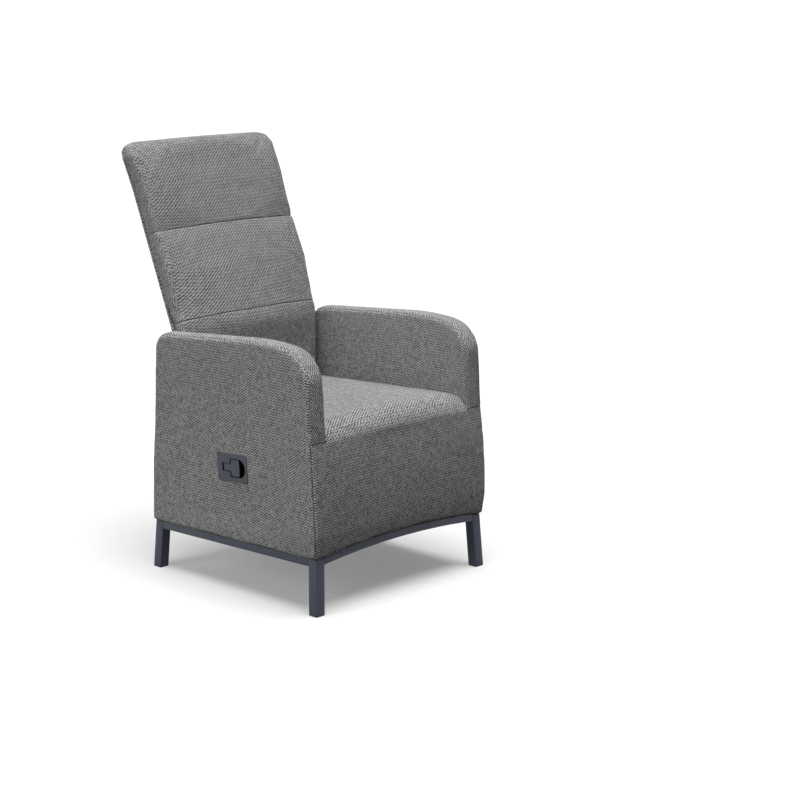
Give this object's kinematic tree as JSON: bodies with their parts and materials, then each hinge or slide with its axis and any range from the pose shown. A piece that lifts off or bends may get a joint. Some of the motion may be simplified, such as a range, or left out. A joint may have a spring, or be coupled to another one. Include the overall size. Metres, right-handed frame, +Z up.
{
  "type": "reclining armchair",
  "caption": "High-back reclining garden armchair with padded rounded arms, a box-shaped upholstered body on a splayed square-tube base and a release lever in its side.",
  "frame": {"origin": "on the floor, under the middle of the chair's bounding box", "axes": "+Z up, -Y towards the front of the seat, +X towards the sitter's left"},
  "size_m": [0.6172, 0.7984, 1.1058],
  "materials": {
    "frame_paint": "satin anthracite powder coat",
    "inner_paint": "satin black paint",
    "fabric": "grey melange weave",
    "webbing": "black elastic webbing",
    "glide_plastic": "matte black",
    "lever_plastic": "satin black",
    "bush_plastic": "natural nylon",
    "zinc_steel": "bright zinc plate",
    "wire_steel": "stranded steel wire",
    "head_metal": "die-cast, matte",
    "cylinder_paint": "gloss black",
    "rod_chrome": "hard chrome",
    "cable_sheath": "matte black sheath"
  },
  "bodies": {
    "chair": {"arm_band_left": "fabric", "arm_band_right": "fabric", "arm_inner_panel_left": "fabric", "arm_inner_panel_right": "fabric", "base_rail_front": "frame_paint", "base_rail_left": "frame_paint", "base_rail_rear": "frame_paint", "base_rail_right": "frame_paint", "cable_ferrules": "zinc_steel", "front_apron": "fabric", "front_fork": "inner_paint", "front_pin": "zinc_steel", "gas_rod": "rod_chrome", "glides": "glide_plastic", "hinge_bracket_left": "inner_paint", "hinge_bracket_right": "inner_paint", "hinge_bushes": "bush_plastic", "leg_front_left": "frame_paint", "leg_front_right": "frame_paint", "leg_rear_left": "frame_paint", "leg_rear_right": "frame_paint", "lever_housing": "lever_plastic", "lever_pin": "zinc_steel", "lever_spring": "zinc_steel", "rear_panel": "fabric", "release_arm_pin": "zinc_steel", "release_cable": "cable_sheath", "release_head": "head_metal", "seat_cushion": "fabric", "seat_rail_front": "inner_paint", "seat_rail_left": "inner_paint", "seat_rail_middle": "inner_paint", "seat_rail_rear": "inner_paint", "seat_rail_right": "inner_paint", "seat_webbing": "webbing", "side_frame_left": "inner_paint", "side_frame_right": "inner_paint", "side_panel_left": "fabric", "side_panel_right": "fabric"},
    "backrest": {"back_cross_lower": "inner_paint", "back_cross_tubes": "inner_paint", "back_cushion": "fabric", "back_frame_left": "inner_paint", "back_frame_right": "inner_paint", "back_rear_cover": "fabric", "back_webbing": "webbing", "hinge_plates": "inner_paint", "hinge_pins": "zinc_steel", "hinge_nuts": "zinc_steel", "crank_plates": "inner_paint", "crank_pin": "zinc_steel"},
    "lever": {"lever_paddle": "lever_plastic"},
    "release_arm": {"release_arm": "zinc_steel"},
    "valve_pin": {"valve_pin": "zinc_steel"},
    "lever_wire": {"lever_wire": "wire_steel"},
    "valve_wire": {"valve_wire": "wire_steel"},
    "gas_cylinder": {"gas_cylinder": "cylinder_paint"}
  },
  "joints": [
    {"name": "recline", "type": "hinge", "parent": "chair", "child": "backrest", "pos_m": [0, 0.16915, 0.42], "axis": [-1, 0, 0], "range_deg": [0, 28]},
    {"name": "gas_spring_slide", "type": "slide", "parent": "chair", "child": "gas_cylinder", "axis": [0, -1, 0], "range_m": [0, 0.0436]},
    {"name": "lever_pivot", "type": "hinge", "parent": "chair", "child": "lever", "pos_m": [-0.3005, -0.06689, 0.32554], "axis": [0, -0.0523, -0.9986], "range_deg": [0, 22], "stiffness_Nm_per_rad": 0.3, "springref_deg": -17.19},
    {"name": "release_arm_pivot", "type": "hinge", "parent": "chair", "child": "release_arm", "pos_m": [0, -0.12608, 0.33934], "axis": [1, 0, 0], "range_deg": [0, 8.2]},
    {"name": "valve_slide", "type": "slide", "parent": "chair", "child": "valve_pin", "axis": [0, 1, 0], "range_m": [0, 0.00131]},
    {"name": "lever_wire_slide", "type": "slide", "parent": "chair", "child": "lever_wire", "axis": [0, -1, 0], "range_m": [0, 0.0062]},
    {"name": "valve_wire_slide", "type": "slide", "parent": "chair", "child": "valve_wire", "axis": [0, 1, 0], "range_m": [0, 0.0062]}
  ],
  "couplings": [
    {"joint": "gas_spring_slide", "follows": "recline", "m_per_rad": 0.0891},
    {"joint": "lever_wire_slide", "follows": "lever_pivot", "m_per_rad": 0.0159},
    {"joint": "valve_wire_slide", "follows": "lever_pivot", "m_per_rad": 0.0159},
    {"joint": "release_arm_pivot", "follows": "lever_pivot", "ratio": 0.372},
    {"joint": "valve_slide", "follows": "lever_pivot", "m_per_rad": 0.0034}
  ]
}
